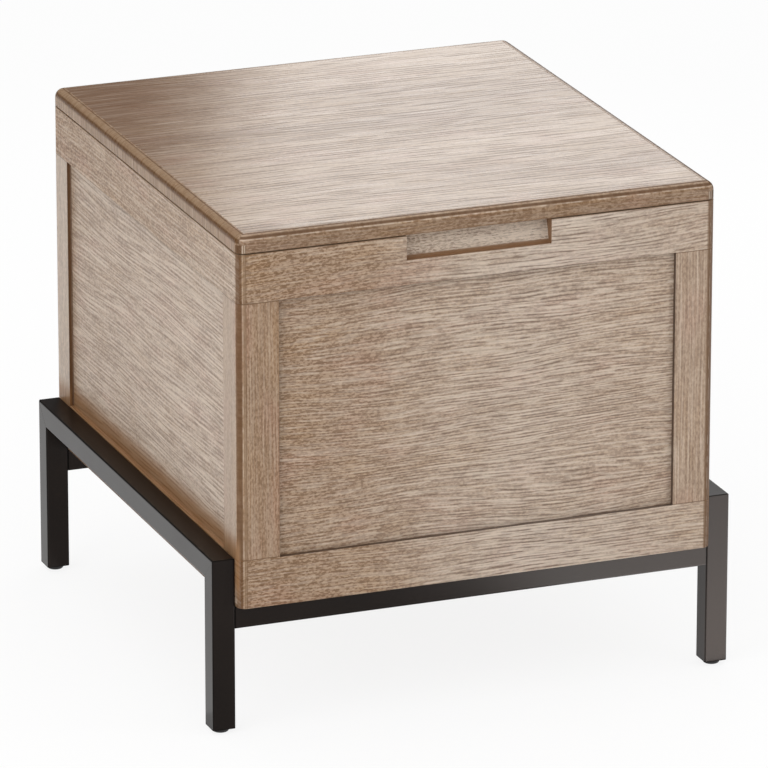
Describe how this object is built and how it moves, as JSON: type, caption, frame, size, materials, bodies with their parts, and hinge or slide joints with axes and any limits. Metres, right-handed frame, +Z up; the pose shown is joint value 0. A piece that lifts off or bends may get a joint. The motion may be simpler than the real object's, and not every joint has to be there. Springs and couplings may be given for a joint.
{
  "type": "trunk end table",
  "caption": "Square end table built as a trunk: oak frame-and-panel box with a rear-hinged slab lid on sliding stays and a finger recess, on a square-tube metal base with levelling feet.",
  "frame": {"origin": "on the floor, under the middle of the whole footprint with the hinge knuckles", "axes": "+X to the right seen from the front, the front faces -Y, +Z up"},
  "size_m": [0.59, 0.5936, 0.5517],
  "materials": {
    "oak_top": "washed oak veneer, matt",
    "oak_lipping": "oak, edges stained darker, matt",
    "oak_frame": "washed oak, matt",
    "oak_panel": "washed oak veneer, matt",
    "plywood": "stained plywood",
    "bronze_tube": "dark bronze powder coat, satin",
    "hinge_steel": "antique bronze plate",
    "stay_steel": "black, satin",
    "fastener_steel": "zinc plated",
    "black_nylon": "black nylon",
    "clear_rubber": "translucent pad"
  },
  "bodies": {
    "table": {"bottom_board": "plywood", "bottom_rail_back": "oak_frame", "bottom_rail_front": "oak_frame", "bottom_rail_left": "oak_frame", "bottom_rail_right": "oak_frame", "corner_post_back_left": "oak_frame", "corner_post_back_right": "oak_frame", "corner_post_front_left": "oak_frame", "corner_post_front_right": "oak_frame", "cross_rail_back": "bronze_tube", "cross_rail_front": "bronze_tube", "frame_bolts": "fastener_steel", "frame_inserts": "fastener_steel", "hinge_case_leaf_left": "hinge_steel", "hinge_case_leaf_right": "hinge_steel", "hinge_case_screws": "fastener_steel", "hinge_pins": "hinge_steel", "leg_back_left": "bronze_tube", "leg_back_right": "bronze_tube", "leg_front_left": "bronze_tube", "leg_front_right": "bronze_tube", "leg_plugs": "black_nylon", "lid_bumpers": "clear_rubber", "panel_back": "oak_panel", "panel_front": "oak_panel", "panel_left": "oak_panel", "panel_right": "oak_panel", "side_rail_left": "bronze_tube", "side_rail_right": "bronze_tube", "stay_track_left": "stay_steel", "stay_track_right": "stay_steel", "stay_track_screws": "fastener_steel", "top_rail_back": "oak_frame", "top_rail_front": "oak_frame", "top_rail_left": "oak_frame", "top_rail_right": "oak_frame"},
    "lid": {"lid_core": "oak_top", "lid_edge_back": "oak_lipping", "lid_edge_front": "oak_lipping", "lid_edge_left": "oak_lipping", "lid_edge_right": "oak_lipping", "hinge_lid_leaf_left": "hinge_steel", "hinge_lid_leaf_right": "hinge_steel", "hinge_lid_screws": "fastener_steel", "stay_bracket_left": "stay_steel", "stay_bracket_right": "stay_steel", "stay_bracket_pins": "fastener_steel", "stay_bracket_screws": "fastener_steel"},
    "stay_arm_left": {"stay_arm_left": "stay_steel"},
    "stay_block_left": {"stay_block_left": "black_nylon", "stay_block_pin_left": "fastener_steel"},
    "stay_arm_right": {"stay_arm_right": "stay_steel"},
    "stay_block_right": {"stay_block_right": "black_nylon", "stay_block_pin_right": "fastener_steel"},
    "levelling_foot_back_left": {"levelling_foot_back_left": "black_nylon"},
    "levelling_foot_back_right": {"levelling_foot_back_right": "black_nylon"},
    "levelling_foot_front_left": {"levelling_foot_front_left": "black_nylon"},
    "levelling_foot_front_right": {"levelling_foot_front_right": "black_nylon"}
  },
  "joints": [
    {"name": "lid_hinge", "type": "hinge", "parent": "table", "child": "lid", "pos_m": [0, 0.2932, 0.5321], "axis": [-1, 0, 0], "range_deg": [0, 75]},
    {"name": "stay_arm_left_pivot", "type": "hinge", "parent": "lid", "child": "stay_arm_left", "pos_m": [-0.235, 0.14442, 0.51304], "axis": [-1, 0, 0], "range_deg": [-150, 0]},
    {"name": "stay_block_left_pivot", "type": "hinge", "parent": "stay_arm_left", "child": "stay_block_left", "pos_m": [-0.235, -0.00361, 0.4888], "axis": [-1, 0, 0], "range_deg": [0, 75]},
    {"name": "stay_arm_right_pivot", "type": "hinge", "parent": "lid", "child": "stay_arm_right", "pos_m": [0.235, 0.14442, 0.51304], "axis": [-1, 0, 0], "range_deg": [-150, 0]},
    {"name": "stay_block_right_pivot", "type": "hinge", "parent": "stay_arm_right", "child": "stay_block_right", "pos_m": [0.235, -0.00361, 0.4888], "axis": [-1, 0, 0], "range_deg": [0, 75]},
    {"name": "levelling_foot_back_left_screw", "type": "slide", "parent": "table", "child": "levelling_foot_back_left", "axis": [0, 0, -1], "range_m": [0, 0.008]},
    {"name": "levelling_foot_back_right_screw", "type": "slide", "parent": "table", "child": "levelling_foot_back_right", "axis": [0, 0, -1], "range_m": [0, 0.008]},
    {"name": "levelling_foot_front_left_screw", "type": "slide", "parent": "table", "child": "levelling_foot_front_left", "axis": [0, 0, -1], "range_m": [0, 0.008]},
    {"name": "levelling_foot_front_right_screw", "type": "slide", "parent": "table", "child": "levelling_foot_front_right", "axis": [0, 0, -1], "range_m": [0, 0.008]}
  ],
  "couplings": [
    {"joint": "stay_arm_left_pivot", "follows": "lid_hinge", "ratio": -2},
    {"joint": "stay_block_left_pivot", "follows": "lid_hinge", "ratio": 1},
    {"joint": "stay_arm_right_pivot", "follows": "lid_hinge", "ratio": -2},
    {"joint": "stay_block_right_pivot", "follows": "lid_hinge", "ratio": 1}
  ]
}
